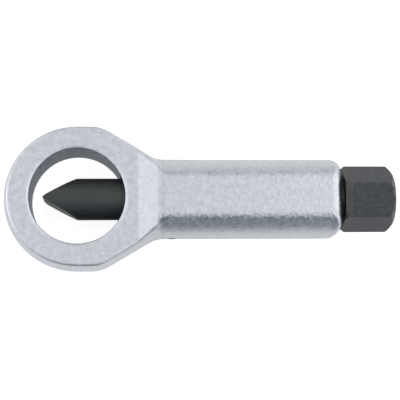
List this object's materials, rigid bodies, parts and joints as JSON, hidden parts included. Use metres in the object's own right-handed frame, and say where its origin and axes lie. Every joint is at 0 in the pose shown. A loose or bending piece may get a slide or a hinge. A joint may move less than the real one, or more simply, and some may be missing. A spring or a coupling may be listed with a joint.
{
  "type": "nut splitter",
  "caption": "Ring-shaped nut splitter: a forged ring and handle, a wedge chisel that slides in the handle, and a threaded hexagon spindle that drives it.",
  "frame": {"origin": "centre of the ring's hole, on the spindle axis and midway between the ring's faces", "axes": "+X along the spindle axis from the ring to the hexagon, +Z across the thickness of the tool, +Y completes them"},
  "size_m": [0.1139, 0.0422, 0.019],
  "materials": {
    "plated_forging": "blasted and satin plated",
    "ground_pin": "ground, hardened",
    "blackened_chisel": "black oxide, ground",
    "polished_ball": "polished",
    "blackened_spindle": "black oxide, satin"
  },
  "bodies": {
    "frame": {"frame": "plated_forging", "guide_pin": "ground_pin"},
    "chisel": {"chisel": "blackened_chisel", "upper_keeper_pin": "ground_pin", "lower_keeper_pin": "ground_pin", "thrust_ball": "polished_ball"},
    "spindle": {"spindle": "blackened_spindle"}
  },
  "joints": [
    {"name": "chisel_slide", "type": "slide", "parent": "frame", "child": "chisel", "axis": [1, 0, 0], "range_m": [-0.00038, 0.024]},
    {"name": "spindle_turn", "type": "hinge", "parent": "chisel", "child": "spindle", "pos_m": [0.06, 0, 0], "axis": [1, 0, 0], "range_deg": [-90.1, 5760.1]}
  ],
  "couplings": [
    {"joint": "spindle_turn", "follows": "chisel_slide", "rad_per_m": 4188.8}
  ]
}
